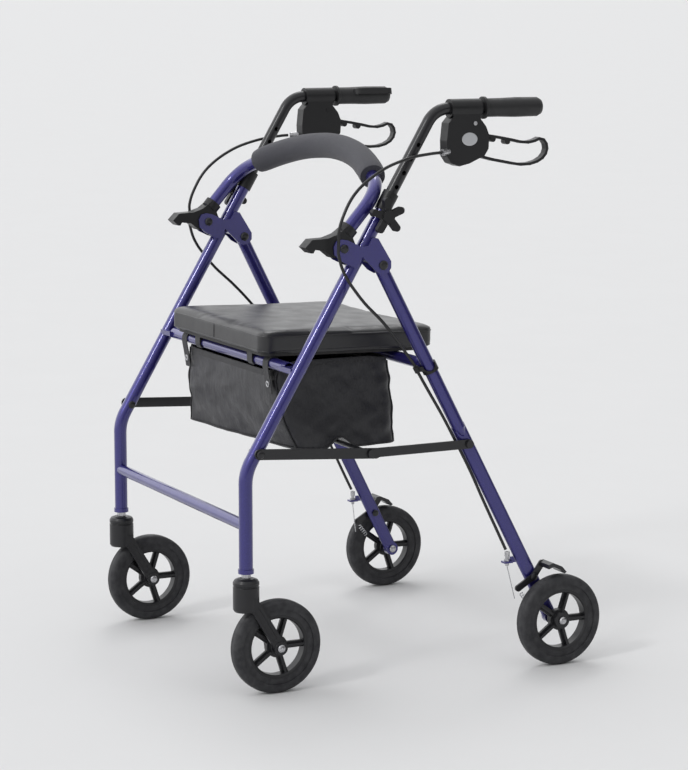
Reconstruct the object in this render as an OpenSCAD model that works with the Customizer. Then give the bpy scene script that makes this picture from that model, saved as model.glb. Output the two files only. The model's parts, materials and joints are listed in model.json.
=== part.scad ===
// Folding four-wheel rollator with a padded seat, a bag, loop brakes and a padded back bar.
// +Z is up, the casters face -Y and the grips face +Y. The user's left side is +X.
// The origin lies on the floor under the middle of the walker.

/* [Wheels] */
// Outer diameter of all four wheels
wheel_d = 152; // [146:1:156]
// Width of the tyres
tyre_w = 25; // [22:1:27]
// Distance between the caster axles and the rear axles
wheel_base = 494; // [480:2:508]
// Distance that a caster's axle trails its stem
trail = 51; // [49:1:53]

/* [Frame] */
// Diameter of the leg tubes
leg_d = 22.2; // [21:0.2:23]
// Diameter of the crossbars and the handle tubes
bar_d = 19; // [18:0.2:19.4]
// Half the distance between the front legs
leg_x = 270; // [262:1:275]
// Height at which a front leg bends
bend_z = 360; // [350:1:370]
// Lean of the upper front legs from upright
lean = 30.7; // [29.5:0.1:32]
// Height of the lower crossbar
crossbar_z = 275; // [255:1:300]

/* [Seat] */
// Width of the seat pad
seat_w = 390; // [370:2:400]
// Depth of the seat pad
seat_l = 322; // [310:2:326]
// Thickness of the seat cushion at its edges
cushion_t = 38; // [30:1:42]

/* [Handles] */
// Height of the middle of the grips
grip_z = 921; // [905:1:935]
// Length of a grip
grip_l = 108; // [100:1:112]
// Distance between the holes in a handle tube
hole_pitch = 25.4; // [22:0.1:28]

/* [Hidden] */
$fn = 48;

blue = "#3a3488";
black = "#262628";
silver = "#b8babd";

gap = 0.05;                 // running fit and cope clearance on a radius
wall = 1.5;                 // of the bars, the handle tubes and the rear legs
leg_wall = 1.3;             // of the front legs, which the handle tubes slide in
leg_r = leg_d / 2;
bar_r = bar_d / 2;
wheel_r = wheel_d / 2;
bolt_r = 4;
caster_y = -wheel_base / 2;
rear_axle_y = wheel_base / 2;
leg_y = caster_y - trail;   // the caster stems and the upright part of the front legs
leg_bottom_z = 199;
leg_top_z = 780;
leg_bend_r = 70;

// Place along the leaning part of a front leg at height z
function lean_y(z) = leg_y + (z - bend_z) * tan(lean);

// Backrest hinge, rear leg hinge and the places of the braces, as [y, z]
back_pivot = [-133, 706];
fold_pivot = [-64, 677];
brace_a = [lean_y(390), 390];
brace_m = [-89.5, 378];
brace_b = [90, 379];

// Rear legs, which splay outwards a little
rear_top = [leg_x + 1, fold_pivot[0], fold_pivot[1]];
rear_end = [leg_x + 20, rear_axle_y, wheel_r];
rear_len = norm(rear_end - rear_top);
rear_wheel_x = leg_x + 48;
flat_w = 24;                // the flattened lower part of a rear leg
flat_t = 13;
function rear_at(z) =
    rear_top + (rear_end - rear_top) * (rear_top[2] - z) / (rear_top[2] - rear_end[2]);

// Seat and the bars under it
front_bar = [lean_y(515), 515];
rear_bar_z = 512;
rear_bar_y = rear_at(rear_bar_z)[1] - 3;
seat_front_y = front_bar[0] - 32;
seat_bottom_z = 528;
seat_tilt = 1.25;
board_t = 6;
board_inset = 12;
seat_corner_r = 18;

// Handles
handle_bend_r = 42;
handle_vertex_y = lean_y(grip_z);
grip_start_y = 121;
knob_z = 755.5;
tube_bottom_z = 620;
holes_above = 5;
lever_pivot = [102, 897];

// Back bar: a plane that leans rearwards, from the top of its sockets
back_top = [-116, 738];
back_lean = 48.2;
corner_r = 60;
corner_a = 62;
arm_v = 37;
crown_r = (leg_x - corner_r + corner_r * cos(corner_a)) / cos(corner_a);
crown_v = arm_v + (corner_r - crown_r) * sin(corner_a);
foam_a = 25.5;
foam_r = 21;

// Rear brake, as [y, z]
arm_pivot = [rear_at(148)[1], 148];
pinch = [181, 131];
anchor_z = 175;
adjuster = [rear_at(186)[0], 166, 186];

// Cable routes on the left side: the housing to the front of the frame, and on to the rear wheel
cable_r = 2.5;
cable_sides = 8;
upper_route = [[286, 36, 852], [287, 20, 851], [290, -11, 847], [292, -36, 841], [293, -60, 833],
    [295, -82, 822], [296, -102, 809], [297, -118, 795], [298, -130, 780], [299, -139, 764],
    [300, -146, 748], [300, -150, 733], [300, -150, 724], [300, -150, 716]];
lower_route = [[300, -150, 716], [300, -150, 708], [300, -150, 699], [300, -145, 680], [300, -138, 665],
    [299, -128, 650], [297, -103, 620], [293, -71, 590], [288, -44, 561], [283, -22, 534],
    [281, -8, 517], [281, -2, 506], [281, 5, 494.5], [280.5, 20, 470], [281, 45, 429], [282.5, 68, 387],
    [284, 96, 334], [285.5, 120, 283], [286.5, 145, 232], [286.5, 159, 204], [286.6, 163, 196]];

clip_hold = [[281, -8, 517], [281, 5, 494.5]];     // where a clip grips the cable

/* Helpers */

// Extrudes a shape drawn in the YZ plane along X, from x0 to x1
module slab(x0, x1) {
    translate([x0, 0, 0]) rotate([90, 0, 90]) linear_extrude(x1 - x0) children();
}

// A pin along X at [y, z]
module pin(at, r, x0, x1) {
    translate([x0, at[0], at[1]]) rotate([0, 90, 0]) cylinder(r = r, h = x1 - x0);
}

// A round bar between two points
module rod(a, b, r) {
    d = b - a;
    translate(a)
        rotate([0, acos(d[2] / norm(d)), atan2(d[1], d[0])])
            cylinder(r = r, h = norm(d));
}

// A flat outline with round ends along a list of [y, z] points, to extrude with slab().
// The ends are a little wider than the strap, as a pressed eye is.
module strap(points, w) {
    eye = 0.3;
    for (p = points)
        translate(p) circle(d = w + eye);
    for (i = [0 : len(points) - 2])
        let (d = points[i + 1] - points[i])
            translate(points[i])
                rotate(atan2(d[1], d[0]))
                    translate([0, -w / 2])
                        square([norm(d), w]);
}

// A bend is this much thicker than the straight parts of its tube, which lap into it
seam = 0.12;
lap = 0.6;

// A tube with one bend, about the bend's centre: it bends from angle 0 through turn degrees
module bent_tube(r, bend_r, turn, before, after) {
    rotate_extrude(angle = turn, $fn = 96)
        translate([bend_r, 0])
            circle(r + seam, $fn = 48);
    translate([bend_r, lap, 0])
        rotate([90, 0, 0])
            cylinder(r = r, h = before + lap);
    rotate([0, 0, turn])
        translate([bend_r, -lap, 0])
            rotate([-90, 0, 0])
                cylinder(r = r, h = after + lap);
}

// Turns a piece drawn in the XY plane into the YZ plane, about [y, z] at the legs
module upright(centre, angle) {
    translate([leg_x, centre[0], centre[1]])
        rotate([90, 0, 90])
            rotate([0, 0, angle])
                children();
}

// Repeats a left-side piece on the right
module both_sides() {
    children();
    mirror([1, 0, 0]) children();
}

module right_side() {
    mirror([1, 0, 0]) children();
}

// The outline of the leaning part of a front leg, longer than the leg, to cope other pieces by
module leg_space(extra = gap) {
    rod([leg_x, lean_y(bend_z), bend_z], [leg_x, lean_y(1000), 1000], leg_r + extra);
}

// The outline of a rear leg, to cope other pieces by
module rear_leg_space() {
    rod(rear_top, rear_end, leg_r + gap);
}

// A domed bolt along X: shank from x0 to x1, heads outside them
module bolt(at, r, x0, x1, head_r, head_h) {
    pin(at, r, x0, x1);
    for (side = [[x0, -1], [x1, 1]])
        translate([side[0], at[0], at[1]])
            rotate([0, 90 * side[1], 0])
                rotate_extrude()
                    polygon([[0, 0], [head_r, 0], [head_r, head_h * 0.4],
                        [head_r * 0.75, head_h * 0.8], [head_r * 0.35, head_h], [0, head_h]]);
}

// Points of a tube ring at route point i; the route never runs along the side direction
function route_dir(p, i) =
    let (d = p[min(i + 1, len(p) - 1)] - p[max(i - 1, 0)]) d / norm(d);
function ring(p, i, r, n, side) =
    let (t = route_dir(p, i), u = cross(t, side) / norm(cross(t, side)), v = cross(t, u))
    [for (k = [0 : n - 1]) p[i] + r * (cos(360 * k / n) * u + sin(360 * k / n) * v)];

// Smooth points through a route, two to each stretch
function spline(p) = [
    for (i = [0 : len(p) - 2], t = [0, 0.5])
        let (a = p[max(i - 1, 0)], b = p[i], c = p[i + 1], d = p[min(i + 2, len(p) - 1)])
        b + t * ((c - a) / 2 + t * ((2 * a - 5 * b + 4 * c - d) / 2 + t * (3 * b - a - 3 * c + d) / 2)),
    p[len(p) - 1]];

// One closed tube swept along a route
module cable(route, r, n) {
    path = spline(route);
    m = len(path);
    points = [for (i = [0 : m - 1]) each ring(path, i, r, n, [1, 0, 0])];
    sides = [for (i = [0 : m - 2], k = [0 : n - 1])
        [i * n + k, i * n + (k + 1) % n, (i + 1) * n + (k + 1) % n, (i + 1) * n + k]];
    ends = [[for (k = [n - 1 : -1 : 0]) k], [for (k = [0 : n - 1]) (m - 1) * n + k]];
    polyhedron(points, concat(sides, ends));
}

// A hollow bar across the walker at [y, z]
module bar(half_l, at) {
    difference() {
        pin(at, bar_r, -half_l, half_l);
        pin(at, bar_r - wall, -half_l - 1, half_l + 1);
    }
}

/* Front frame */

module front_leg() {
    tangent = leg_bend_r * tan(lean / 2);
    bend_start = bend_z - tangent;
    leaning = (leg_top_z - bend_z) / cos(lean) - tangent;
    color(blue)
        difference() {
            union() {
                upright([leg_y + leg_bend_r, bend_start], 180 - lean)
                    bent_tube(leg_r, leg_bend_r, lean, leaning, bend_start - leg_bottom_z);
                translate([leg_x, leg_y, leg_bottom_z]) cylinder(r = leg_r + 1.6, h = 7);
            }
            upright([leg_y + leg_bend_r, bend_start], 180 - lean)
                bent_tube(leg_r - leg_wall, leg_bend_r, lean, leaning + 1, bend_start - leg_bottom_z + 1);
            pin([lean_y(knob_z), knob_z], bolt_r + 0.3, leg_x, leg_x + leg_d);
            pin(brace_a, bolt_r + gap, leg_x - leg_d, leg_x + leg_d);
        }
}

module front_leg_left() { front_leg(); }
module front_leg_right() { right_side() front_leg(); }

module lower_crossbar() {
    color(blue)
        difference() {
            bar(leg_x, [leg_y, crossbar_z]);
            both_sides()
                translate([leg_x, leg_y, leg_bottom_z]) cylinder(r = leg_r + gap, h = bend_z);
        }
}

module seat_front_bar() {
    flat_from = 236;
    flat_h = 8;
    flat_depth = 27;
    color(blue)
        difference() {
            union() {
                bar(flat_from, front_bar);
                both_sides()
                    translate([flat_from - 8, front_bar[0] - flat_depth / 2, front_bar[1] - flat_h / 2])
                        cube([leg_x - flat_from + 8, flat_depth, flat_h]);
            }
            both_sides() leg_space();
        }
}

module seat_rear_bar() {
    color(blue)
        difference() {
            bar(leg_x, [rear_bar_y, rear_bar_z]);
            both_sides() rear_leg_space();
        }
}

// A welded bracket: two cheeks with an open gap between them, coped around the leg
module bracket(outline, hole, gap_side) {
    cheek_in = 12.8;
    cheek_out = 15.4;
    difference() {
        slab(leg_x - cheek_out, leg_x + cheek_out) polygon(outline);
        leg_space();
        // the gap for the hinged piece, from just outside the leg outwards
        translate([leg_x - cheek_in, 0, 0])
            rotate([-lean, 0, 0])
                translate([0, gap_side > 0 ? leg_along(leg_r + 2) : leg_along(-leg_r - 2) - 200, -100])
                    cube([2 * cheek_in, 200, 1200]);
        pin(hole, bolt_r + gap, leg_x - leg_d, leg_x + leg_d);
    }
}

// Distance across the lean, measured from the leg's axis
function leg_along(d) = leg_y * cos(lean) - bend_z * sin(lean) + d;

module backrest_brackets() {
    color(blue)
        both_sides()
            bracket([[-137, 721], [-126, 719], [-103, 708], [lean_y(709), 709], [lean_y(675), 675],
                [-118, 677], [-139, 687], [-150, 697], [-151, 710], [-146, 719]], back_pivot, -1);
}

module rear_leg_brackets() {
    color(blue)
        both_sides()
            bracket([[lean_y(722), 722], [-73, 720], [-50, 683], [-50, 672], [-56, 664], [-66, 662],
                [-77, 668], [lean_y(692), 692]], fold_pivot, 1);
}

module bracket_bolts() {
    color(black)
        both_sides() {
            bolt(back_pivot, bolt_r, leg_x - 15.6, leg_x + 15.6, 7, 4);
            bolt(fold_pivot, bolt_r, leg_x - 15.6, leg_x + 15.6, 7.5, 4);
        }
}

module height_collars() {
    lip = 10;
    color(black)
        both_sides()
            difference() {
                rod([leg_x, lean_y(leg_top_z - 18), leg_top_z - 18],
                    [leg_x, lean_y(leg_top_z + lip), leg_top_z + lip], leg_r + 1.9);
                rod([leg_x, lean_y(700), 700], [leg_x, lean_y(leg_top_z + 1), leg_top_z + 1], leg_r + gap);
                rod([leg_x, lean_y(700), 700], [leg_x, lean_y(850), 850], bar_r + gap);
            }
}

module caster_stems() {
    color(silver)
        both_sides()
            translate([leg_x, leg_y, 0]) {
                translate([0, 0, 141]) cylinder(r = 8, h = 8.5);
                translate([0, 0, 141]) cylinder(r = 5, h = 96);
                translate([0, 0, 191.4]) cylinder(r = 7.5, h = 7.2, $fn = 6);
                translate([0, 0, 204]) cylinder(r = leg_r - 1.5, h = 33);
            }
}

module brace_leg_bolts() {
    color(black)
        both_sides()
            bolt(brace_a, bolt_r, leg_x - leg_r - 1, leg_x + 18.4, 6.5, 3.5);
}

/* Bag */

module bag() {
    cloth = 3;
    half_w = 184;
    // outline in the YZ plane: the floor lies over the brace's cross rod, and the rim is lower
    // where the rear bar passes as the frame folds
    outer = [[-201, 500], [-190, 440], [-168, 372], [-112, 374], [-98, 384], [-80, 384], [-66, 373],
        [16, 368], [8, 482], [-92, 482], [-102, 500]];
    color(black)
        difference() {
            slab(-half_w, half_w) polygon(outer);
            slab(-half_w + cloth, half_w - cloth)
                polygon([[-197.8, 520], [-186.8, 440.5], [-165.8, 375.2], [-113, 377], [-99, 387], [-79, 387],
                    [-65, 376.2], [12.8, 371.4], [4.8, 520]]);
        }
}

// Webbing loops that hang the bag from the front bar
module bag_loops() {
    loop_t = 1.6;
    color(black)
        for (x = [-168, 168])
            translate([x - 10, front_bar[0], front_bar[1]])
                rotate([0, 90, 0])
                    difference() {
                        union() {
                            cylinder(r = bar_r + 0.3 + loop_t, h = 20);
                            translate([0, -bar_r - 0.3 - loop_t, 0]) cube([42, loop_t, 20]);
                        }
                        translate([0, 0, -1]) cylinder(r = bar_r + 0.3, h = 22);
                    }
}

/* Rear frame */

module rear_leg() {
    round_len = 306;
    end_r = flat_w / 2;
    color(blue)
        difference() {
            union() {
                translate(rear_top)
                    rotate([0, acos((rear_end[2] - rear_top[2]) / rear_len),
                        atan2(rear_end[1] - rear_top[1], rear_end[0] - rear_top[0])]) {
                        translate([0, 0, -10]) cylinder(r = leg_r, h = round_len + 10);
                        translate([0, 0, round_len]) cylinder(r1 = leg_r, r2 = flat_t / 2, h = 16);
                        for (x = [-1, 1])
                            translate([x * (flat_w - flat_t) / 2, 0, round_len - 4])
                                cylinder(r = flat_t / 2, h = rear_len - round_len + 4);
                        translate([-(flat_w - flat_t) / 2, -flat_t / 2, round_len - 4])
                            cube([flat_w - flat_t, flat_t, rear_len - round_len + 4]);
                        translate([0, flat_t / 2, rear_len]) rotate([90, 0, 0]) cylinder(r = end_r, h = flat_t);
                    }
            }
            translate(rear_top)
                rotate([0, acos((rear_end[2] - rear_top[2]) / rear_len),
                    atan2(rear_end[1] - rear_top[1], rear_end[0] - rear_top[0])])
                    translate([0, 0, -20])
                        cylinder(r = leg_r - wall, h = round_len + 15);
            pin(fold_pivot, bolt_r + gap, leg_x - 20, leg_x + 24);
            pin(arm_pivot, bolt_r + gap, leg_x - 20, leg_x + 50);
            pin([rear_axle_y, wheel_r], bolt_r + gap, leg_x - 20, leg_x + 60);
        }
}

module rear_leg_left() { rear_leg(); }
module rear_leg_right() { right_side() rear_leg(); }

module cable_clips() {
    clip_z = 507;
    at = rear_at(clip_z);
    d = (rear_end - rear_top) / rear_len;
    held = clip_hold[1] - clip_hold[0];
    e = held / norm(held);
    mid = (clip_hold[0] + clip_hold[1]) / 2;
    color(black)
        both_sides()
            difference() {
                union() {
                    rod(at - 7 * d, at + 7 * d, leg_r + 2.4);
                    rod(mid - 5 * e, mid + 5 * e, cable_r + 2.2);
                    translate([mid[0] - 3, mid[1] + 3, mid[2] - 4]) cube([6, at[1] - mid[1] - 12, 8]);
                }
                rod(at - 20 * d, at + 20 * d, leg_r + gap);
                rod(mid - 12 * e, mid + 12 * e, cable_r + 0.4);
                pin([rear_bar_y, rear_bar_z], bar_r + 0.2, 0, leg_x + 20);
            }
}

module cable_anchors() {
    at = rear_at(anchor_z);
    color(blue)
        both_sides()
            difference() {
                union() {
                    translate([adjuster[0] - 6, adjuster[1] - 8, anchor_z - 2]) cube([12, 16, 3]);
                    translate([adjuster[0] - 1.5, adjuster[1] + 5.4, anchor_z - 2])
                        cube([3, at[1] - adjuster[1] - 13.4, 10]);
                }
                rod(at + [0, -40, 77.3] * 0.5, at - [0, -40, 77.3] * 0.5, 13);
                translate([adjuster[0], adjuster[1], 0]) cylinder(r = 3 + gap, h = 400);
            }
}

module cable_adjusters() {
    color(silver)
        both_sides()
            translate([adjuster[0], adjuster[1], 0])
                difference() {
                    union() {
                        translate([0, 0, 168]) cylinder(r = 3, h = 22);
                        translate([0, 0, 176.2]) cylinder(r = 5, h = 3.4, $fn = 6);
                        translate([0, 0, 184]) cylinder(r = 4.2, h = 8);
                    }
                    translate([0, 0, 160]) cylinder(r = 0.9, h = 60);
                    translate([0, 0, 190.5]) cylinder(r = cable_r + 0.3, h = 10);
                }
}

module rear_axle() {
    color(silver)
        union() {
            bolt([rear_axle_y, wheel_r], bolt_r, leg_x + 12, rear_wheel_x + 14, 6.5, 4.5);
            pin([rear_axle_y, wheel_r], 8, leg_x + 27, rear_wheel_x - 13.6);
        }
}

module rear_axle_left() { rear_axle(); }
module rear_axle_right() { right_side() rear_axle(); }

module brake_pivot_bolts() {
    color(black)
        both_sides()
            bolt(arm_pivot, bolt_r, leg_x + 9.5, leg_x + 30.4, 6, 3);
}

// Return springs, from the brake arm to the leg
module brake_springs() {
    a = [leg_x + 28, 186, 122];
    b = [leg_x + 28, 200, 104];
    d = b - a;
    turns = 5;
    steps = 10;
    coil = [for (i = [0 : turns * steps])
        let (t = i / (turns * steps), w = 360 * i / steps)
        a + d * t + 3.2 * [cos(w), sin(w) * 0.79, sin(w) * 0.61]];
    m = len(coil);
    n = 6;
    points = [for (i = [0 : m - 1]) each ring(coil, i, 0.8, n, d)];
    sides = [for (i = [0 : m - 2], k = [0 : n - 1])
        [i * n + k, i * n + (k + 1) % n, (i + 1) * n + (k + 1) % n, (i + 1) * n + k]];
    ends = [[for (k = [n - 1 : -1 : 0]) k], [for (k = [0 : n - 1]) (m - 1) * n + k]];
    color(silver)
        both_sides()
            polyhedron(points, concat(sides, ends));
}

module lower_cables() {
    color(black)
        both_sides()
            cable(lower_route, cable_r, cable_sides);
}

module upper_cables() {
    color(black)
        both_sides()
            cable(upper_route, cable_r, cable_sides);
}

module brake_wires() {
    color(silver)
        both_sides()
            rod([adjuster[0], adjuster[1], 167.5], [leg_x + 25, pinch[0] - 4.8, pinch[1] - 18], 0.7);
}

/* Wheels, drawn about an axle along X through the origin */

module rim() {
    hub_r = 13.5;
    ring_in = 46;
    ring_out = 52;
    spokes = 5;
    color(black)
        difference() {
            union() {
                pin([0, 0], hub_r, -13.4, 13.4);
                pin([0, 0], 18, -5, 5);
                rotate([0, 90, 0])
                    rotate_extrude($fn = 96)
                        polygon([[ring_in, -8.5], [ring_in + 2, -10.5], [ring_out, -10.5], [ring_out, 10.5],
                            [ring_in + 2, 10.5], [ring_in, 8.5]]);
                for (i = [0 : spokes - 1])
                    rotate([360 * i / spokes, 0, 0]) {
                        translate([-2.5, hub_r - 2, -5.5]) cube([5, ring_in - hub_r + 3, 11]);
                        translate([-8, hub_r - 2, -2]) cube([16, ring_in - hub_r + 3, 4]);
                    }
            }
            pin([0, 0], bolt_r + gap, -20, 20);
        }
}

module tyre() {
    shoulder = 8.5;
    color(black)
        rotate([0, 90, 0])
            rotate_extrude($fn = 96)
                union() {
                    for (x = [-1, 1])
                        translate([wheel_r - shoulder, x * (tyre_w / 2 - shoulder)]) circle(shoulder);
                    translate([52 + gap, -10.5]) square([wheel_r - shoulder - 52, 21]);
                    translate([wheel_r - shoulder - 6, -tyre_w / 2]) square([6, tyre_w]);
                    translate([wheel_r - shoulder, -tyre_w / 2 + shoulder]) square([shoulder, tyre_w - 2 * shoulder]);
                }
}

module at_rear_wheel() { translate([rear_wheel_x, rear_axle_y, wheel_r]) children(); }
module at_caster() { translate([leg_x, caster_y, wheel_r]) children(); }

module rear_rim_left() { at_rear_wheel() rim(); }
module rear_rim_right() { right_side() at_rear_wheel() rim(); }
module rear_tyre_left() { at_rear_wheel() tyre(); }
module rear_tyre_right() { right_side() at_rear_wheel() tyre(); }
module caster_rim_left() { at_caster() rim(); }
module caster_rim_right() { right_side() at_caster() rim(); }
module caster_tyre_left() { at_caster() tyre(); }
module caster_tyre_right() { right_side() at_caster() tyre(); }

/* Casters */

module caster_fork() {
    arm_in = 14.6;
    arm_out = 20.5;
    head_r = 21;
    axle = [caster_y, wheel_r];
    color(black)
        difference() {
            union() {
                translate([leg_x, leg_y, 0])
                    rotate_extrude()
                        polygon([[0, 138], [head_r - 2, 138], [head_r, 141], [head_r, 177.5], [head_r - 1.2, 178.2],
                            [head_r - 1.2, 180], [head_r, 180.7], [head_r, 185], [head_r - 2.5, 189],
                            [head_r - 8, 191], [0, 191]]);
                slab(leg_x - arm_out, leg_x + arm_out) strap([[leg_y + 6, 150], axle], 19);
                pin(axle, 11, leg_x - arm_out - 1.6, leg_x + arm_out + 1.6);
            }
            // the slot that the wheel runs in
            pin(axle, wheel_r + 3.5, leg_x - arm_in, leg_x + arm_in);
            // sunk panels in the arms
            both_faces(arm_out - 1)
                slab(0, 4) strap([[leg_y + 10, 142], [caster_y - 12, wheel_r + 17.4]], 9);
            translate([leg_x, leg_y, 0]) cylinder(r = 5 + gap, h = 200);
            translate([leg_x, leg_y, 0]) cylinder(r = 11, h = 150);
            pin(axle, bolt_r + gap, leg_x - 30, leg_x + 30);
        }
}

// Repeats a cut on both outer faces of a fork, from distance x outwards
module both_faces(x) {
    translate([leg_x + x, 0, 0]) children();
    translate([leg_x - x, 0, 0]) mirror([1, 0, 0]) children();
}

module caster_fork_left() { caster_fork(); }
module caster_fork_right() { right_side() caster_fork(); }

module caster_axle() {
    color(silver)
        bolt([caster_y, wheel_r], bolt_r, leg_x - 22.2, leg_x + 22.2, 6.5, 4);
}

module caster_axle_left() { caster_axle(); }
module caster_axle_right() { right_side() caster_axle(); }

/* Side braces */

link_w = 17;
link_t = 2.6;
front_link_x = 284.5;       // inner face at the front leg
mid_link_x = 293.5;         // inner face at the middle pivot
rear_link_x = 290;          // inner face of the rear link

module brace_front() {
    d = brace_m - brace_a;
    swing = atan2(mid_link_x - front_link_x, d[0]);
    color(black)
        difference() {
            translate([front_link_x, brace_a[0], brace_a[1]])
                rotate([0, 0, -swing])
                    slab(0, link_t) strap([[0, 0], [d[0] + 8, d[1]]], link_w);
            pin(brace_a, bolt_r + gap, 270, 300);
            pin(brace_m, bolt_r + gap, 280, 310);
        }
}

module brace_front_left() { brace_front(); }
module brace_front_right() { right_side() brace_front(); }

// The rod that joins both braces at their middle pivots
module brace_cross_rod() {
    end_x = 299;
    color(black) {
        pin(brace_m, bolt_r, -end_x, end_x);
        both_sides() {
            pin(brace_m, 7.5, 297.2, 300.5);
            pin(brace_m, 6.5, 286, 289.5);
        }
    }
}

module brace_rear() {
    stub = 2;
    color(black) {
        difference() {
            slab(rear_link_x, rear_link_x + link_t) strap([brace_m, brace_b], 15);
            pin(brace_m, bolt_r + gap, 280, 310);
        }
        pin(brace_b, 6.5, rear_link_x + link_t, rear_link_x + link_t + 4);
        pin(brace_b, 5, rear_link_x - stub, rear_link_x);
    }
}

module brace_rear_left() { brace_rear(); }
module brace_rear_right() { right_side() brace_rear(); }

/* Handles */

module handle_tube() {
    turn = 90 - lean;
    tangent = handle_bend_r * tan(turn / 2);
    bend_end_y = handle_vertex_y + tangent;
    leaning = (grip_z - tube_bottom_z) / cos(lean) - tangent;
    color(black)
        difference() {
            upright([bend_end_y, grip_z - handle_bend_r], 90)
                bent_tube(bar_r, handle_bend_r, turn, grip_start_y + grip_l - 6 - bend_end_y, leaning);
            upright([bend_end_y, grip_z - handle_bend_r], 90)
                bent_tube(bar_r - wall, handle_bend_r, turn, grip_start_y + grip_l - bend_end_y, leaning + 1);
            for (k = [-1 : holes_above])
                translate([0, k * hole_pitch * sin(lean), k * hole_pitch * cos(lean)])
                    pin([lean_y(knob_z), knob_z], 3.6, leg_x - leg_d, leg_x + leg_d);
        }
}

module handle_tube_left() { handle_tube(); }
module handle_tube_right() { right_side() handle_tube(); }

module grip() {
    grip_r = 15.5;
    end_y = grip_start_y + grip_l;
    color(black)
        difference() {
            union() {
                translate([leg_x, grip_start_y, grip_z])
                    rotate([-90, 0, 0])
                        rotate_extrude()
                            polygon([[0, 0], [18, 0], [18, 4], [grip_r - 0.5, 6], [grip_r - 0.5, 30], [grip_r + 0.5, 60],
                                [grip_r, grip_l - 8], [grip_r - 3, grip_l - 2], [grip_r - 8, grip_l], [0, grip_l]]);
                // palm rest on the inner side
                translate([leg_x - 24, end_y - 76, grip_z + 4])
                    rotate([0, 12, 0])
                        union() {
                            translate([0, 12, 0]) cube([24, 52, 10]);
                            for (y = [12, 64])
                                translate([12, y, 0]) cylinder(r = 12, h = 10);
                        }
            }
            translate([leg_x, grip_start_y - 1, grip_z])
                rotate([-90, 0, 0])
                    cylinder(r = bar_r + gap, h = grip_l - 4.8);
        }
}

module grip_left() { grip(); }
module grip_right() { right_side() grip(); }

module brake_housing() {
    half_w = 12;
    clamp_y = [60, 115];
    slot_w = 16;
    color(black)
        difference() {
            union() {
                translate([leg_x, clamp_y[0], grip_z])
                    rotate([-90, 0, 0])
                        cylinder(r = bar_r + 5.5, h = clamp_y[1] - clamp_y[0]);
                slab(leg_x - half_w, leg_x + half_w)
                    polygon([[63, 922], [63, 908], [54, 898], [51, 870], [52, 845], [60, 834], [74, 829], [92, 833],
                        [120, 845], [127, 856], [128, 878], [122, 892], [112, 904], [112, 922]]);
                // ferrule that the cable leaves by
                rod([leg_x + 8, 56, 853], [286, 40, 852], 5);
            }
            translate([leg_x, clamp_y[0] - 1, grip_z])
                rotate([-90, 0, 0])
                    cylinder(r = bar_r + gap, h = clamp_y[1] - clamp_y[0] + 2);
            // the slot that the lever moves in
            slab(leg_x - slot_w / 2, leg_x + slot_w / 2)
                polygon([[82, 886], [82, 860], [96, 840], [100, 820], [140, 820], [140, 905], [112, 905], [94, 905]]);
            pin(lever_pivot, 3 + gap, leg_x - 20, leg_x + 20);
            rod([288, 36.2, 852], [280, 47, 852], 2.9);
        }
}

module brake_housing_left() { brake_housing(); }
module brake_housing_right() { right_side() brake_housing(); }

module brake_lever() {
    half_w = 6.8;
    bar_t = 4.5;
    loop = [lever_pivot, [107, 885], [115, 880], [130, 876.5], [151, 873], [172, 869], [190, 865],
        [204, 863.8], [216, 866], [225, 869.5], [233, 867.5], [238, 861], [239.5, 853], [237, 845],
        [231, 838], [221, 832.5], [207, 829], [190, 828.5], [174, 831], [156, 834.5], [138, 838],
        [122, 842], [112, 849], [107, 860], [105, 872], [107, 885]];
    studs = [[138, 871], [165, 866.5]];
    color(black)
        union() {
            slab(leg_x - half_w, leg_x + half_w) {
                strap(loop, bar_t);
                // finger stops under the upper bar
                for (at = studs)
                    translate(at) circle(5);
                translate(lever_pivot) circle(6.5);
            }
            pin(lever_pivot, 3, leg_x - 12.8, leg_x + 12.8);
        }
}

module brake_lever_left() { brake_lever(); }
module brake_lever_right() { right_side() brake_lever(); }

module height_knob() {
    arms = 5;
    at = [lean_y(knob_z), knob_z];
    hub_x = leg_x + 15;
    color(black) {
        pin(at, 10, hub_x, hub_x + 20);
        for (i = [0 : arms - 1])
            translate([0, at[0], at[1]])
                rotate([21 + 360 * i / arms, 0, 0])
                    slab(hub_x + 7, hub_x + 17) strap([[0, 0], [24, 0]], 11.5);
        pin(at, bolt_r - 0.5, leg_x + bar_r + 0.35, hub_x);
    }
}

module height_knob_left() { height_knob(); }
module height_knob_right() { right_side() height_knob(); }

/* Rear brakes */

module brake_arm() {
    plate = [leg_x + 26.6, leg_x + 30.2];
    shoe = [leg_x + 26.6, leg_x + 60];
    color(black)
        difference() {
            union() {
                slab(plate[0], plate[1]) strap([pinch, arm_pivot, [225, 169]], 11);
                // the shoe, a bent plate across the tread
                slab(shoe[0], shoe[1])
                    polygon([[221, 165], [221, 172], [229, 175], [246, 167.5], [255, 157.5], [251, 155.2],
                        [243, 162], [230, 168]]);
                pin(pinch, 3.4, leg_x + 23, plate[0]);
            }
            pin(arm_pivot, bolt_r + gap, leg_x, leg_x + 60);
        }
}

module brake_arm_left() { brake_arm(); }
module brake_arm_right() { right_side() brake_arm(); }

/* Seat */

module seat_frame() {
    translate([0, seat_front_y, seat_bottom_z])
        rotate([-seat_tilt, 0, 0])
            children();
}

// A flat block with round upright corners, from the front edge rearwards
module round_block(w, l, h, r) {
    translate([-w / 2 + r, 0, 0]) cube([w - 2 * r, l, h]);
    translate([-w / 2, r, 0]) cube([w, l - 2 * r, h]);
    for (x = [-1, 1], y = [r, l - r])
        translate([x * (w / 2 - r), y, 0]) cylinder(r = r, h = h);
}

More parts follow.
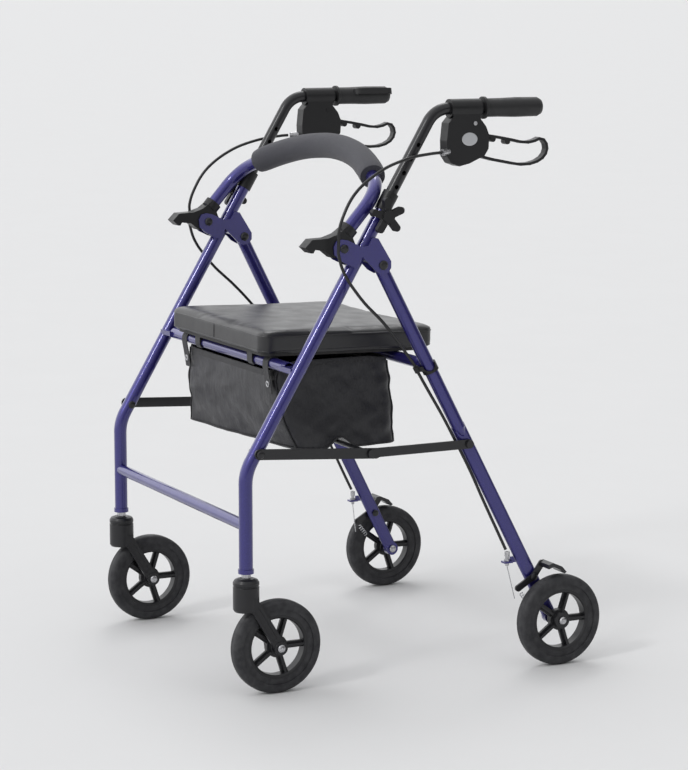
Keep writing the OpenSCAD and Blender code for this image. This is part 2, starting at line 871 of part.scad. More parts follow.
module seat_cushion() {
    color("#2c2c30")
        seat_frame()
            difference() {
                round_block(seat_w, seat_l, cushion_t, seat_corner_r);
                // the recess that the board lies in
                translate([0, board_inset - gap, -1])
                    round_block(seat_w - 2 * (board_inset - gap), seat_l - 2 * (board_inset - gap),
                        board_t + 1 + gap, seat_corner_r);
            }
}

module seat_board() {
    color("#1c1c1c")
        seat_frame()
            translate([0, board_inset, 0])
                round_block(seat_w - 2 * board_inset, seat_l - 2 * board_inset, board_t, seat_corner_r);
}

// Clips under the board that turn on the front bar
module seat_clips() {
    clip_w = 20;
    color("#1c1c1c")
        for (x = [-108, 108])
            difference() {
                union() {
                    translate([x - clip_w / 2, front_bar[0] - 12, front_bar[1]]) cube([clip_w, 24, 12.1]);
                    pin(front_bar, 12, x - clip_w / 2, x + clip_w / 2);
                }
                pin(front_bar, bar_r + gap, x - clip_w, x + clip_w);
                translate([x - clip_w, front_bar[0] - 7, front_bar[1] - 20]) cube([2 * clip_w, 14, 20]);
            }
}

/* Back bar */

// The plane of the back bar, with its origin midway between the tops of the sockets
module back_plane() {
    translate([0, back_top[0], back_top[1]])
        rotate([back_lean, 0, 0])
            children();
}

module back_arc(r, half_angle) {
    translate([0, crown_v, 0])
        rotate([0, 0, 90 - half_angle])
            rotate_extrude(angle = 2 * half_angle, $fn = 360)
                translate([crown_r, 0])
                    circle(r, $fn = 48);
}

// The whole line of the back bar, as a solid of the given radius
module back_line(r, arm_l) {
    back_arc(r + seam, 90 - corner_a);
    both_sides() {
        translate([leg_x, arm_v - arm_l, 0]) rotate([-90, 0, 0]) cylinder(r = r, h = arm_l + lap);
        translate([leg_x - corner_r, arm_v, 0])
            rotate_extrude(angle = corner_a, $fn = 96)
                translate([corner_r, 0])
                    circle(r + seam, $fn = 48);
    }
}

module backrest_tube() {
    color(blue)
        back_plane()
            difference() {
                back_line(leg_r, arm_v + 26);
                back_line(leg_r - wall, arm_v + 28);
            }
}

module backrest_foam() {
    color("#3c3c42")
        back_plane()
            difference() {
                back_arc(foam_r, foam_a);
                back_arc(leg_r + seam + 0.15, foam_a + 1);
            }
}

module backrest_sockets() {
    half_w = 12.4;
    socket_l = 13;
    color(black)
        both_sides()
            difference() {
                union() {
                    back_plane()
                        translate([leg_x, -socket_l, 0])
                            rotate([-90, 0, 0])
                                cylinder(r = leg_r + 3.4, h = socket_l);
                    slab(leg_x - half_w, leg_x + half_w)
                        polygon([[-124, 742], [-142, 729], [-160, 723], [-187, 722], [-199, 710], [-189, 701],
                            [-185, 701], [-182, 706], [-165, 704], [-150, 692], [-138, 692], [-122, 697],
                            [-112, 712]]);
                }
                back_plane()
                    translate([leg_x, -26.5, 0]) rotate([-90, 0, 0]) cylinder(r = leg_r + gap, h = 60);
                pin(back_pivot, bolt_r + gap, leg_x - 20, leg_x + 20);
                leg_space(3.4);
            }
}

front_leg_left();
front_leg_right();
lower_crossbar();
seat_front_bar();
backrest_brackets();
rear_leg_brackets();
bracket_bolts();
height_collars();
caster_stems();
brace_leg_bolts();
bag();
bag_loops();
upper_cables();
rear_leg_left();
rear_leg_right();
seat_rear_bar();
cable_clips();
cable_anchors();
cable_adjusters();
rear_axle_left();
rear_axle_right();
brake_pivot_bolts();
brake_springs();
lower_cables();
brake_wires();
rear_rim_left();
rear_rim_right();
rear_tyre_left();
rear_tyre_right();
caster_fork_left();
caster_fork_right();
caster_axle_left();
caster_axle_right();
caster_rim_left();
caster_rim_right();
caster_tyre_left();
caster_tyre_right();
brace_front_left();
brace_front_right();
brace_cross_rod();
brace_rear_left();
brace_rear_right();
handle_tube_left();
handle_tube_right();
grip_left();
grip_right();
brake_housing_left();
brake_housing_right();
brake_lever_left();
brake_lever_right();
height_knob_left();
height_knob_right();
brake_arm_left();
brake_arm_right();
seat_cushion();
seat_board();
seat_clips();
backrest_tube();
backrest_foam();
backrest_sockets();
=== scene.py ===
import json
import math

import bmesh
import bpy
from mathutils import Matrix, Vector, noise
from mathutils.bvhtree import BVHTree


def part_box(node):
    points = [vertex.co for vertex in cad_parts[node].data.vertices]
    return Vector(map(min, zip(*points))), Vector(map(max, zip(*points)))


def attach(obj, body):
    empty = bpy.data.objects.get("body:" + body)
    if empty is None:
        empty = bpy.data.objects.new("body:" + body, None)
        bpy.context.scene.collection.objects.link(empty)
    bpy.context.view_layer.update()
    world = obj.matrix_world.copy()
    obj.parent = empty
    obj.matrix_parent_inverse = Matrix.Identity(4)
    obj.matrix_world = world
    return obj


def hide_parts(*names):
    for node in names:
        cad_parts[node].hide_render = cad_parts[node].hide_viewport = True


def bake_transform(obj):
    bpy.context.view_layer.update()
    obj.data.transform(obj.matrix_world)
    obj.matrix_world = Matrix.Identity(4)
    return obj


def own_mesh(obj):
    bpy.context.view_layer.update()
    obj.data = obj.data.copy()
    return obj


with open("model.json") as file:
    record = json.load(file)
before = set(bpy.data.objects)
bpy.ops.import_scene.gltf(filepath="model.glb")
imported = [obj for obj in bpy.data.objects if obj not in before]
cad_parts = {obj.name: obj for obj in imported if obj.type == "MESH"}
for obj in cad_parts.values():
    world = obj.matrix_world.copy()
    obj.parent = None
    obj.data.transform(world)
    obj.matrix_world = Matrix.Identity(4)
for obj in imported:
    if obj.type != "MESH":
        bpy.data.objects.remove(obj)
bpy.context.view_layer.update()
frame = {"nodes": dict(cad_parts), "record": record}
MM = 0.001
TURN = 2 * math.pi

# Sizes shared with part.scad, in mm
BAR_Y, BAR_Z = -205.97, 515.0               # the seat's front bar
SEAT_FRONT = BAR_Y - 32
SEAT_BOTTOM = 528
SEAT_W, SEAT_L = 390, 322
BOARD_INSET, BOARD_T = 12, 6
SHEATH_R = 2.5
BACK_Y, BACK_Z = -116, 738                  # the foot of the back bar's plane


# ---------------------------------------------------------------- materials
class Mat:
    """One principled material, with helpers that add procedural detail in object space."""

    def __init__(self, name, color, rough, metal=0.0, coat=0.0, sheen=0.0, spec=0.5, coat_rough=0.08):
        self.m = bpy.data.materials.new(name)
        self.m.use_nodes = True
        self.t = self.m.node_tree
        self.b = self.t.nodes["Principled BSDF"]
        self.b.inputs["Base Color"].default_value = (*color, 1)
        self.b.inputs["Roughness"].default_value = rough
        self.b.inputs["Metallic"].default_value = metal
        self.b.inputs["Coat Weight"].default_value = coat
        self.b.inputs["Coat Roughness"].default_value = coat_rough
        self.b.inputs["Sheen Weight"].default_value = sheen
        self.b.inputs["Specular IOR Level"].default_value = spec
        self.color = color
        self.rough = rough
        self.coord = self.node("ShaderNodeTexCoord").outputs["Object"]
        self.normal = None

    def node(self, kind, **sets):
        n = self.t.nodes.new(kind)
        for k, v in sets.items():
            setattr(n, k, v)
        return n

    def link(self, a, b):
        self.t.links.new(a, b)

    def stretched(self, scale):
        n = self.node("ShaderNodeMapping")
        n.inputs["Scale"].default_value = scale
        self.link(self.coord, n.inputs["Vector"])
        return n.outputs["Vector"]

    def noise(self, scale, detail=3.0, rough=0.55, vector=None):
        n = self.node("ShaderNodeTexNoise")
        n.inputs["Scale"].default_value = scale
        n.inputs["Detail"].default_value = detail
        n.inputs["Roughness"].default_value = rough
        self.link(vector or self.coord, n.inputs["Vector"])
        return n.outputs["Fac"]

    def voronoi(self, scale, feature="F1", vector=None):
        n = self.node("ShaderNodeTexVoronoi", feature=feature)
        n.inputs["Scale"].default_value = scale
        self.link(vector or self.coord, n.inputs["Vector"])
        return n.outputs["Distance"]

    def mapped(self, value, low, high, start=0.0, stop=1.0):
        n = self.node("ShaderNodeMapRange")
        n.inputs["From Min"].default_value = start
        n.inputs["From Max"].default_value = stop
        n.inputs["To Min"].default_value = low
        n.inputs["To Max"].default_value = high
        self.link(value, n.inputs["Value"])
        return n.outputs["Result"]

    def vary_rough(self, value, spread, start=0.3, stop=0.7):
        low, high = self.rough - spread, self.rough + spread
        self.link(self.mapped(value, low, high, start, stop), self.b.inputs["Roughness"])
        return self

    def vary_color(self, value, other, start=0.35, stop=0.65):
        n = self.node("ShaderNodeMix", data_type="RGBA")
        n.inputs["A"].default_value = (*self.color, 1)
        n.inputs["B"].default_value = (*other, 1)
        self.link(self.mapped(value, 0, 1, start, stop), n.inputs["Factor"])
        self.link(n.outputs["Result"], self.b.inputs["Base Color"])
        return self

    def round_edges(self, radius):
        n = self.node("ShaderNodeBevel", samples=4)
        n.inputs["Radius"].default_value = radius
        self.normal = n.outputs["Normal"]
        self.link(self.normal, self.b.inputs["Normal"])
        return self

    def bump(self, value, strength, depth):
        n = self.node("ShaderNodeBump")
        n.inputs["Strength"].default_value = strength
        n.inputs["Distance"].default_value = depth
        self.link(value, n.inputs["Height"])
        if self.normal:
            self.link(self.normal, n.inputs["Normal"])
        self.normal = n.outputs["Normal"]
        self.link(self.normal, self.b.inputs["Normal"])
        return self


def make_materials():
    m = {}
    k = Mat("frame_paint", (0.013, 0.010, 0.110), 0.34, metal=0.55, coat=1.0, coat_rough=0.05)
    k.vary_color(k.voronoi(1400), (0.032, 0.026, 0.210), 0.15, 0.75)
    k.vary_rough(k.noise(35), 0.06).bump(k.noise(160, 2), 0.05, 0.0003)
    m["frame_paint"] = k.m
    k = Mat("black_paint", (0.010, 0.010, 0.012), 0.36, coat=0.3, coat_rough=0.2, spec=0.4)
    k.round_edges(0.0006).vary_rough(k.noise(60), 0.08).bump(k.noise(1500, 2), 0.12, 0.0002)
    m["black_paint"] = k.m
    k = Mat("steel", (0.60, 0.60, 0.61), 0.30, metal=1.0)
    k.round_edges(0.0003).vary_color(k.noise(300), (0.42, 0.42, 0.44)).vary_rough(k.noise(220, 4), 0.1)
    m["steel"] = k.m
    k = Mat("badge", (0.55, 0.56, 0.58), 0.34, metal=0.8, coat=0.4)
    k.round_edges(0.0004).vary_rough(k.noise(400), 0.06).bump(k.noise(900, 2), 0.08, 0.0001)
    m["badge"] = k.m
    k = Mat("black_plastic", (0.010, 0.010, 0.011), 0.40, spec=0.4)
    k.round_edges(0.0009).vary_rough(k.noise(45), 0.07).bump(k.noise(1800, 2), 0.18, 0.0002)
    m["black_plastic"] = k.m
    k = Mat("wheel_plastic", (0.011, 0.011, 0.013), 0.34, spec=0.45)
    k.round_edges(0.0010).vary_rough(k.noise(60), 0.07).bump(k.noise(900, 2), 0.08, 0.0002)
    m["wheel_plastic"] = k.m
    k = Mat("cable_sheath", (0.010, 0.010, 0.011), 0.38)
    k.vary_rough(k.noise(120), 0.08).bump(k.noise(700, 2), 0.1, 0.0002)
    m["cable_sheath"] = k.m
    k = Mat("tyre", (0.020, 0.020, 0.023), 0.62, spec=0.4)
    k.vary_color(k.noise(90, 5), (0.040, 0.040, 0.043)).vary_rough(k.noise(55), 0.1)
    k.bump(k.noise(1300, 3), 0.25, 0.0003)
    m["tyre"] = k.m
    k = Mat("grip_rubber", (0.013, 0.013, 0.014), 0.50)
    k.vary_rough(k.noise(70), 0.08).bump(k.voronoi(900), 0.25, 0.0003)
    m["grip_rubber"] = k.m
    k = Mat("foam", (0.036, 0.036, 0.046), 0.85, sheen=0.15, spec=0.3)
    k.vary_color(k.noise(700, 3), (0.062, 0.062, 0.072)).bump(k.voronoi(1100), 0.5, 0.0005)
    m["foam"] = k.m
    k = Mat("vinyl", (0.012, 0.012, 0.014), 0.33, spec=0.6)
    k.vary_rough(k.noise(25), 0.05).bump(k.voronoi(620, "SMOOTH_F1"), 0.28, 0.0004)
    k.bump(k.noise(14, 2), 0.25, 0.003)
    m["vinyl"] = k.m
    k = Mat("board", (0.012, 0.012, 0.012), 0.6)
    k.vary_color(k.noise(8, 5, vector=k.stretched((1, 12, 1))), (0.022, 0.021, 0.020))
    k.bump(k.noise(500), 0.2, 0.0003)
    m["board"] = k.m
    k = Mat("bag_cloth", (0.011, 0.011, 0.014), 0.36, sheen=0.05)
    weave = k.node("ShaderNodeMath", operation="MULTIPLY")
    for i, axis in enumerate(("X", "Z")):
        w = k.node("ShaderNodeTexWave", bands_direction=axis)
        w.inputs["Scale"].default_value = 420
        k.link(k.coord, w.inputs["Vector"])
        k.link(w.outputs["Fac"], weave.inputs[i])
    k.vary_rough(k.noise(20), 0.08).bump(weave.outputs["Value"], 0.25, 0.0004)
    k.bump(k.noise(30, 4, vector=k.stretched((1, 1, 0.5))), 0.5, 0.006)
    m["bag_cloth"] = k.m
    k = Mat("webbing", (0.009, 0.009, 0.010), 0.60, sheen=0.1, spec=0.35)
    k.vary_color(k.noise(400), (0.030, 0.030, 0.033)).bump(k.voronoi(1200), 0.5, 0.0004)
    m["webbing"] = k.m
    return m


MATS = make_materials()


def dress(obj, mat):
    obj.data.materials.clear()
    obj.data.materials.append(MATS[mat])
    for p in obj.data.polygons:
        p.material_index = 0


def shade(obj, angle=35):
    """Smooth shading with sharp edges kept, done in the mesh."""
    me = obj.data
    me.shade_smooth()
    me.set_sharp_from_angle(angle=math.radians(angle))


# ---------------------------------------------------------------- mesh helpers
def new_object(name, verts, faces, mat, body=None):
    me = bpy.data.meshes.new(name)
    me.from_pydata([tuple(v) for v in verts], [], faces)
    me.update()
    o = bpy.data.objects.new(name, me)
    bpy.context.scene.collection.objects.link(o)
    dress(o, mat)
    shade(o)
    if body:
        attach(o, body)
    return o


def spline(points, steps):
    """Smooth points through a list of points, some steps to each stretch."""
    p = [Vector(q) for q in points]
    out = []
    for i in range(len(p) - 1):
        a, b, c, d = p[max(i - 1, 0)], p[i], p[i + 1], p[min(i + 2, len(p) - 1)]
        for s in range(steps):
            t = s / steps
            bend, twist = 2 * a - 5 * b + 4 * c - d, 3 * b - a - 3 * c + d
            out.append(b + 0.5 * t * ((c - a) + t * (bend + t * twist)))
    out.append(p[-1])
    return out


def sweep(path, up, radius=0, sides=8, closed=False, section=None):
    """Rings along a path, round or of a section of (across, along up) offsets. No part of it runs along up."""
    section = section or [(radius * math.cos(TURN * k / sides), radius * math.sin(TURN * k / sides))
                          for k in range(sides)]
    n, m = len(section), len(path)
    verts = []
    for i, p in enumerate(path):
        a = path[(i - 1) % m] if closed or i else path[0]
        b = path[(i + 1) % m] if closed or i < m - 1 else path[-1]
        t = (b - a).normalized()
        side = t.cross(Vector(up)).normalized()
        top = side.cross(t)
        verts += [p + side * u + top * v for u, v in section]
    faces = []
    for i in range(m if closed else m - 1):
        j = (i + 1) % m
        faces += [(i * n + k, i * n + (k + 1) % n, j * n + (k + 1) % n, j * n + k) for k in range(n)]
    if not closed:
        faces += [tuple(range(n - 1, -1, -1)), tuple((m - 1) * n + k for k in range(n))]
    return verts, faces


def disc(name, centre, half_y, half_z, thick, mat, body):
    """An oval plate with a chamfered face, along X from its inner face at centre."""
    n = 40
    rim = [(half_y * math.cos(TURN * k / n), half_z * math.sin(TURN * k / n)) for k in range(n)]
    rings = ((0.0, 1.0), (0.75, 1.0), (1.0, 0.93))
    verts = [(Vector(centre) + Vector((thick * depth, y * size, z * size))) * MM
             for depth, size in rings for y, z in rim]
    faces = [(r * n + k, r * n + (k + 1) % n, (r + 1) * n + (k + 1) % n, (r + 1) * n + k)
             for r in range(len(rings) - 1) for k in range(n)]
    faces += [tuple(range(n)), tuple(3 * n - 1 - k for k in range(n))]
    o = new_object(name, verts, faces, mat, body)
    outward(o)
    return o


def outward(o):
    """Turns a closed mesh's faces outwards."""
    bm = bmesh.new()
    bm.from_mesh(o.data)
    bmesh.ops.recalc_face_normals(bm, faces=bm.faces)
    bm.to_mesh(o.data)
    bm.free()


# ---------------------------------------------------------------- the CAD pieces
LOOKS = {"wheel_plastic": ["rear_rim_", "caster_rim_", "caster_fork_"]}
for name, obj in frame["nodes"].items():
    slot = next(s["material_slot"] for s in frame["record"]["subparts"] if s["node"] == name)
    look = next((mat for mat, starts in LOOKS.items() if name.startswith(tuple(starts))), slot)
    dress(obj, look)
    shade(obj, 30)


# ---------------------------------------------------------------- brake cables
# Routes on the left side, in mm, mirrored for the right; the cable runs in an upper and a lower stretch
UPPER = [(286, 36, 852), (287, 20, 851), (288, -11, 847), (291, -36, 841), (293, -60, 833),
         (295, -82, 822), (296, -102, 809), (297, -118, 795), (298, -130, 780), (299, -139, 764),
         (300, -146, 748), (300, -150, 733), (300, -150, 724), (300, -150, 716)]
LOWER = [(300, -150, 716), (300, -150, 708), (300, -150, 699), (300, -145, 680), (300, -138, 665),
         (299, -128, 650), (297, -103, 620), (293, -71, 590), (288, -44, 561), (283, -22, 534),
         (281, -8, 517), (281, -2, 506), (281, 5, 494.5), (280.5, 20, 470), (281, 45, 429), (282.5, 68, 387),
         (284, 96, 334), (285.5, 120, 283), (286.5, 145, 232), (286.5, 159, 204), (286.6, 163, 196)]


def cables():
    def placed(points, sx):
        return [Vector((sx * x, y, z)) * MM for x, y, z in points]

    for side, sx in (("left", 1), ("right", -1)):
        for part, route in (("upper", UPPER), ("lower", LOWER)):
            path = placed(spline(route, 5), sx)
            verts, faces = sweep(path, (1, 0, 0), SHEATH_R * MM, 14)
            o = new_object(f"cable_{part}_{side}", verts, faces, "cable_sheath")
            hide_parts(part + "_cables")
            if part == "upper":
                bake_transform(o)
            else:
                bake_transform(o)


# ---------------------------------------------------------------- small parts of the brake housings
def housings():
    """The ferrule over each cable's end, a blank oval badge, and the head of the lever's screw."""
    ferrule = ((278.6, 54.8, 852.9), (280.2, 51.6, 852.7), (286.2, 39.6, 852.0))
    ferrule_r, plate_t, screw_r = 5.4, 0.9, 3.4
    for side, sx in (("left", 1), ("right", -1)):
        body, plate = "handle_" + side, sx * plate_t
        path = [Vector((sx * x, y, z)) * MM for x, y, z in ferrule]
        verts, faces = sweep(path, (0, 0, 1), ferrule_r * MM, 20)
        new_object("ferrule_" + side, verts, faces, "steel", body)
        disc("badge_" + side, (sx * 282, 92, 872), 14, 10.5, plate, "badge", body)
        centre = (sx * 282.8, 102, 897)
        disc("lever_screw_" + side, centre, screw_r, screw_r, plate, "steel", "lever_" + side)


# ---------------------------------------------------------------- seat cushion
TILT = math.radians(-1.25)
CAD_LOW, CAD_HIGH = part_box("seat_cushion")


def seat_point(x, y, z):
    """A point of the seat: x across, y back from the front edge, z up from the board's underside, in mm."""
    v = Matrix.Rotation(TILT, 3, "X") @ Vector((x, y, z))
    return (v + Vector((0, SEAT_FRONT, SEAT_BOTTOM))) * MM


def pillow():
    """The CAD pad, a little smaller, blown up as cloth by up to most_out and kept above its board."""
    voxel, most_out = 0.0055, 0.006
    shrink = (0.995, 0.995, 0.93)
    src = frame["nodes"]["seat_cushion"]
    o = bpy.data.objects.new("seat_pad", src.data.copy())
    bpy.context.scene.collection.objects.link(o)
    mid = (CAD_LOW + CAD_HIGH) / 2
    for v in o.data.vertices:
        v.co = mid + Vector([(v.co[k] - mid[k]) * shrink[k] for k in range(3)])
    bpy.context.view_layer.objects.active = o
    rem = o.modifiers.new("remesh", "REMESH")
    rem.mode = "VOXEL"
    rem.voxel_size = voxel
    apply(o)
    rest = [v.co.copy() for v in o.data.vertices]
    cloth = o.modifiers.new("cloth", "CLOTH")
    s = cloth.settings
    s.use_pressure = True
    s.uniform_pressure_force = 4
    s.effector_weights.gravity = 0
    s.tension_stiffness = 25
    s.compression_stiffness = 25
    s.bending_stiffness = 3
    for f in range(1, 21):
        bpy.context.scene.frame_set(f)
    apply(o)
    bpy.context.scene.frame_set(1)
    for v, r in zip(o.data.vertices, rest):
        d = v.co - r
        if d.length > most_out:
            v.co = r + d.normalized() * most_out
        v.co.z = max(v.co.z, seat_low(v.co))
    return o


def seat_low(co):
    """The height that the pad may come down to: the board's top, or the board's underside around it."""
    back = co.y / MM - SEAT_FRONT
    gap, wide = 0.4, 2.5
    half_w = (SEAT_W / 2 - BOARD_INSET + wide) * MM
    first, last = BOARD_INSET - wide, SEAT_L - BOARD_INSET + wide
    over_board = abs(co.x) < half_w and first < back < last
    return seat_point(0, back, BOARD_T + gap if over_board else gap).z


def apply(o):
    """Turns an object's modifiers into its mesh."""
    dep = bpy.context.evaluated_depsgraph_get()
    me = bpy.data.meshes.new_from_object(o.evaluated_get(dep))
    o.modifiers.clear()
    o.data = me


def seat():
    o = pillow()
    mod = o.modifiers.new("sub", "SUBSURF")
    mod.levels = mod.render_levels = 1
    apply(o)
    dress(o, "vinyl")
    shade(o, 180)
    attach(o, "seat")
    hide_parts("seat_cushion")
    me = o.data
    tree = BVHTree.FromPolygons([v.co.copy() for v in me.vertices], [tuple(p.vertices) for p in me.polygons])
    middle = SEAT_L / 2

    def on_pad(x, y, height):
        """The place on the pad's side that lies straight in from a point."""
        out, mid = seat_point(x, y, height), seat_point(0, middle, height)
        hit = tree.ray_cast(out, (mid - out).normalized())[0]
        return hit if hit else out

    # welts below the top edge and above the bottom edge, each as (height, radius)
    top_welt, low_welt = (32.5, 1.1), (9.0, 1.0)
    outside, steps, e = 12, 240, 2 / 14
    for k, (height, r) in enumerate((top_welt, low_welt)):
        loop = []
        for i in range(steps):
            c, s = math.cos(TURN * i / steps), math.sin(TURN * i / steps)
            x = (SEAT_W / 2 + outside) * math.copysign(abs(c) ** e, c)
            y = middle + (middle + outside) * math.copysign(abs(s) ** e, s)
            loop.append(on_pad(x, y, height))
        verts, faces = sweep(loop, (0, 0, 1), r * MM, closed=True)
        new_object(f"seat_welt_{k}", verts, faces, "vinyl", "seat")
    # the upright seams where the side strips meet
    seam_x, seam_r, steps = -8, 0.9, 8
    for k, y in enumerate((-outside, SEAT_L + outside)):
        rise = top_welt[0] - low_welt[0]
        line = [on_pad(seam_x, y, low_welt[0] + rise * i / steps) for i in range(steps + 1)]
        verts, faces = sweep(line, (1, 0, 0), seam_r * MM)
        new_object(f"seat_seam_{k}", verts, faces, "vinyl", "seat")


# ---------------------------------------------------------------- foam on the back bar
LEAN = math.radians(48.2)
CORNER_A = math.radians(62)
CROWN_R = (210 + 60 * math.cos(CORNER_A)) / math.cos(CORNER_A)
CROWN_V = 37 + (60 - CROWN_R) * math.sin(CORNER_A)


def back_point(u, v, w):
    """A point of the back bar's plane: u across, v up the plane, w out of it, in mm."""
    c, s = math.cos(LEAN), math.sin(LEAN)
    return Vector((u, BACK_Y + v * c - w * s, BACK_Z + v * s + w * c)) * MM


def foam():
    """A slit foam tube round the crown of the back bar, slightly lumpy."""
    half = math.radians(25.5)
    inner, outer = 11.4, 21.2
    slit = math.radians(2.0)
    slit_at = math.radians(250)
    arc = 56
    angles = [slit_at + slit + (TURN - 2 * slit) * k / arc for k in range(arc + 1)]
    ring = [(outer, a) for a in angles] + [(inner, a) for a in reversed(angles)]
    n, m = len(ring), 61
    verts, faces = [], []
    for i in range(m):
        f = i / (m - 1)
        edge = min(f, 1 - f) * (m - 1)
        soft = 1.2 if edge < 0.5 else 0.35 if edge < 1.5 else 0.0
        a = math.pi / 2 - half + 2 * half * f
        for r, b in ring:
            lump = 0.5 * noise.noise(Vector((f * 9, math.cos(b) * 1.5, math.sin(b) * 1.5)))
            rr = r + (lump - soft if r == outer else 0)
            u = (CROWN_R + rr * math.cos(b)) * math.cos(a)
            v = CROWN_V + (CROWN_R + rr * math.cos(b)) * math.sin(a)
            verts.append(back_point(u, v, rr * math.sin(b)))
    for i in range(m - 1):
        faces += [(i * n + k, (i + 1) * n + k, (i + 1) * n + (k + 1) % n, i * n + (k + 1) % n)
                  for k in range(n)]
    half_n = n // 2
    for i, flip in ((0, False), (m - 1, True)):
        for k in range(half_n - 1):
            q = (i * n + k, i * n + k + 1, i * n + n - 2 - k, i * n + n - 1 - k)
            faces.append(q[::-1] if flip else q)
    o = new_object("foam_sleeve", verts, faces, "foam", "backrest")
    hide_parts("backrest_foam")


# ---------------------------------------------------------------- bag
COLS, ROWS = 176, 36
CLOTH = 1.4
PIPE_R = 1.6


def bag_floor(y):
    """Height of the bag's floor, which lies over the cross rod between the braces."""
    over = max(0.0, 1 - abs(y + 89) / 30.0)
    return 370.5 - 2.0 * math.sin((y + 170) / 190 * math.pi) + 17.0 * (over * over * (3 - 2 * over))


def bag_ring(i):
    """Shares of the half width and half depth at step i round a rectangle with soft corners."""
    q = 4 * (i % COLS) / COLS + 0.5
    u = 2 * (q % 1) - 1
    x, y = ((1, u), (-u, 1), (-1, -u), (u, -1))[int(q) % 4]
    f = (abs(x) ** 12 + abs(y) ** 12) ** (-1 / 12)
    return x * f, y * f


def bag_wall(i, j, inset):
    """A point of the bag's wall: i goes round it, j down it, inset into the bag."""
    sx, sy = bag_ring(i)
    v = j / ROWS
    belly = math.sin(math.pi * min(v * 1.05, 1)) * 2.5
    x = sx * (182 - inset + belly)
    # the bottom of the front hangs further back at the left than at the right
    front = -208 + (10 * v + 30 * v * v) * (0.5 + 0.5 * sx)
    rear = 5 + 14 * v * v
    y = (front + rear) / 2 + sy * ((rear - front) / 2 - inset + belly)
    along = (sy + 1) / 2
    rim = 499.5 + 16.5 * min(1, along * 6) - 6 * max(0.0, along - 0.8) / 0.2
    z = rim + (bag_floor(y) + 2 - rim) * v
    soft = 1 - 0.75 * (1 - v) ** 6
    w = 3.4 * noise.noise(Vector((x * 0.011 + z * 0.016, y * 0.020 + z * 0.018, z * 0.010)))
    w += 2.6 * noise.noise(Vector((x * 0.022 - z * 0.034, y * 0.034 - z * 0.040 + 7, z * 0.008 + 3)))
    w += 1.2 * noise.noise(Vector((x * 0.06, y * 0.07 + z * 0.05, z * 0.05 + 3)))
    w *= soft
    return Vector((x + w * sx * abs(sx) ** 3, y + w * sy * abs(sy) ** 3, z))


def folds(o):
    """The cloth goes with the front frame, in a mesh of its own."""
    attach(o, "front_frame")
    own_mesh(o)


def bag():
    """A sagging cloth shell, open at the top."""
    verts, faces = [], []
    for inset in (0.0, CLOTH):
        for j in range(ROWS + 1):
            verts += [bag_wall(i, j, inset) * MM for i in range(COLS)]
    n_side = (ROWS + 1) * COLS
    for base in (0, n_side):
        for j in range(ROWS):
            for i in range(COLS):
                a, b = base + j * COLS + i, base + j * COLS + (i + 1) % COLS
                faces.append((a, b, b + COLS, a + COLS))
    faces += [(i, (i + 1) % COLS, n_side + (i + 1) % COLS, n_side + i) for i in range(COLS)]
    # the floor, in rings towards the middle
    rings = 12
    for base, inset in ((ROWS * COLS, 0.0), (n_side + ROWS * COLS, CLOTH)):
        prev = list(range(base, base + COLS))
        for r in range(1, rings + 1):
            f = 1 - r / (rings + 0.4)
            cur = []
            for i in range(COLS):
                p = bag_wall(i, ROWS, inset)
                x, y = p.x * f, (p.y + 80) * f - 80
                cur.append(len(verts))
                ripple = 1.2 * noise.noise(Vector((x * 0.03, y * 0.03, 5)))
                verts.append(Vector((x, y, bag_floor(y) + 2 * f ** 6 + inset + abs(ripple))) * MM)
            faces += [(prev[i], prev[(i + 1) % COLS], cur[(i + 1) % COLS], cur[i]) for i in range(COLS)]
            prev = cur
        faces.append(tuple(prev))
    o = new_object("bag_shell", verts, faces, "bag_cloth")
    outward(o)
    shade(o, 60)
    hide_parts("bag")
    folds(o)
    # binding along the rim
    rim = [bag_wall(i, 0, CLOTH / 2) * MM for i in range(COLS)]
    outline = ((-1.8, -8), (1.8, -8), (2.0, 0), (1.2, 1.4), (-1.2, 1.4), (-2.0, 0))
    section = [(u * MM, v * MM) for u, v in outline]
    verts, faces = sweep(rim, (0, 0, 1), closed=True, section=section)
    folds(new_object("bag_binding", verts, faces, "webbing"))
    # piping down the four corners and round the floor
    for k in range(4):
        line = [bag_wall(COLS * (2 * k + 1) // 8, j, -0.9) * MM for j in range(1, ROWS + 1)]
        verts, faces = sweep(line, (1, 0, 0), PIPE_R * MM)
        folds(new_object(f"bag_piping_{k}", verts, faces, "webbing"))
    line = [bag_wall(i, ROWS, -0.9) * MM for i in range(COLS)]
    verts, faces = sweep(line, (0, 0, 1), PIPE_R * MM, closed=True)
    folds(new_object("bag_piping_floor", verts, faces, "webbing"))
    loops()


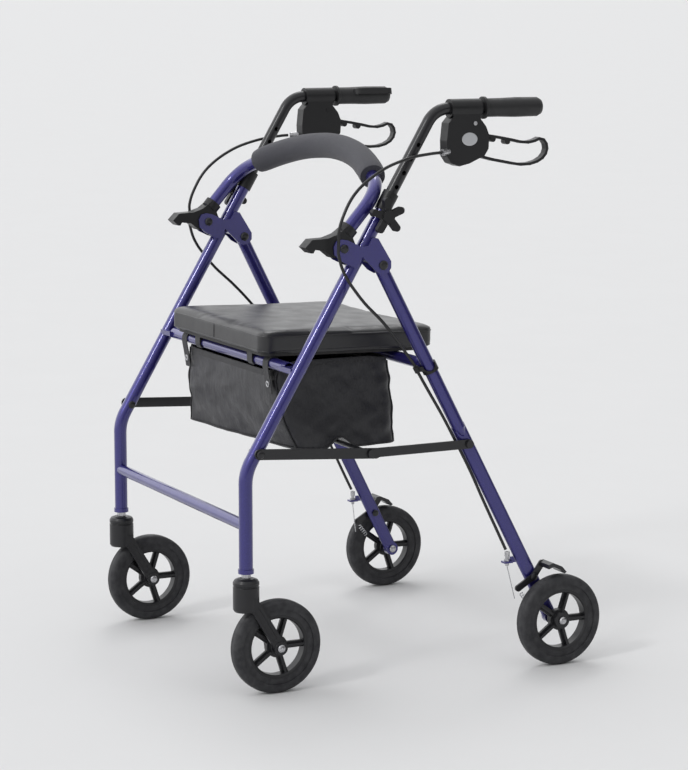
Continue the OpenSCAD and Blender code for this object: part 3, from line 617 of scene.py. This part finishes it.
def loops():
    """Webbing that goes over the front bar and is riveted to the bag's front."""
    r, rivet_r, wire_r = 10.4, 4.2, 1.3
    half, thin = 10 * MM, 0.75 * MM
    over = [(BAR_Y - r * math.cos(a), BAR_Z + r * math.sin(a))
            for a in (math.radians(10 + 17 * i) for i in range(10))]
    route = [(-209.5, 466), (-211.5, 480), (-214, 495), (BAR_Y - r, 508), *over,
             (BAR_Y + r, 508), (-201, 498), (-203.5, 488)]
    for side, x in (("left", 168), ("right", -168)):
        points = [p * MM for p in spline([(x, y, z) for y, z in route], 3)]
        section = [(-thin, -half), (thin, -half), (thin, half), (-thin, half)]
        verts, faces = sweep(points, (1, 0, 0), section=section)
        o = new_object("bag_tab_" + side, verts, faces, "webbing", "front_frame")
        outward(o)
        if side == "left":
            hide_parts("bag_loops")
        circle = [(math.cos(TURN * k / 24), math.sin(TURN * k / 24)) for k in range(24)]
        ring = [Vector((x + rivet_r * c, -212.9 - 0.5 * s, 481 + rivet_r * s)) * MM for c, s in circle]
        verts, faces = sweep(ring, (0, 1, 0), wire_r * MM, closed=True)
        new_object("bag_rivet_" + side, verts, faces, "steel", "front_frame")


# ---------------------------------------------------------------- light, floor and camera
def studio():
    world = bpy.data.worlds.new("studio")
    bpy.context.scene.world = world
    world.use_nodes = True
    tree = world.node_tree
    bg = tree.nodes["Background"]
    bg.inputs["Color"].default_value = (0.985, 0.99, 1.0, 1)
    # a room that is bright in front of the walker and above it, and dark beside it
    coord = tree.nodes.new("ShaderNodeTexCoord")
    dot = tree.nodes.new("ShaderNodeVectorMath")
    dot.operation = "DOT_PRODUCT"
    dot.inputs[1].default_value = (-0.62, -0.55, 0.56)
    ramp = tree.nodes.new("ShaderNodeMapRange")
    for key, value in (("From Min", -0.7), ("From Max", 0.95), ("To Min", 0.10), ("To Max", 1.45)):
        ramp.inputs[key].default_value = value
    tree.links.new(coord.outputs["Generated"], dot.inputs[0])
    tree.links.new(dot.outputs["Value"], ramp.inputs["Value"])
    tree.links.new(ramp.outputs["Result"], bg.inputs["Strength"])
    me = bpy.data.meshes.new("floor")
    far = 3000
    me.from_pydata([(-far, -far, 0), (far, -far, 0), (far, far, 0), (-far, far, 0)], [], [(0, 1, 2, 3)])
    o = bpy.data.objects.new("floor", me)
    bpy.context.scene.collection.objects.link(o)
    mat = Mat("floor", (0.655, 0.655, 0.657), 0.8)
    mat.vary_color(mat.noise(3), (0.650, 0.650, 0.652)).vary_rough(mat.noise(8), 0.04)
    me.materials.append(mat.m)
    suns = (("key", (0.9, -3.0, 2.4), 9, 0.6), ("fill", (3.4, 1.8, 2.6), 30, 0.10),
            ("back", (-2.6, 1.4, 3.6), 16, 0.3))
    for name, place, angle, power in suns:
        data = bpy.data.lights.new(name, "SUN")
        data.angle = math.radians(angle)
        data.energy = power
        lamp = bpy.data.objects.new(name, data)
        lamp.location = place
        lamp.rotation_euler = (-Vector(place)).to_track_quat("-Z", "Y").to_euler()
        bpy.context.scene.collection.objects.link(lamp)


def camera():
    data = bpy.data.cameras.new("camera")
    data.sensor_fit = "HORIZONTAL"
    data.sensor_width = 36
    data.lens = 36 * 2533.7 / 688
    cam = bpy.data.objects.new("camera", data)
    cam.location = (3.8384, -1.8827, 1.0998)
    target = Vector((0, 0.007, 0.4412))
    cam.rotation_euler = (target - cam.location).to_track_quat("-Z", "Y").to_euler()
    bpy.context.scene.collection.objects.link(cam)
    bpy.context.scene.camera = cam


cables()
housings()
seat()
foam()
bag()
studio()
camera()
bpy.context.scene.view_settings.view_transform = "Standard"
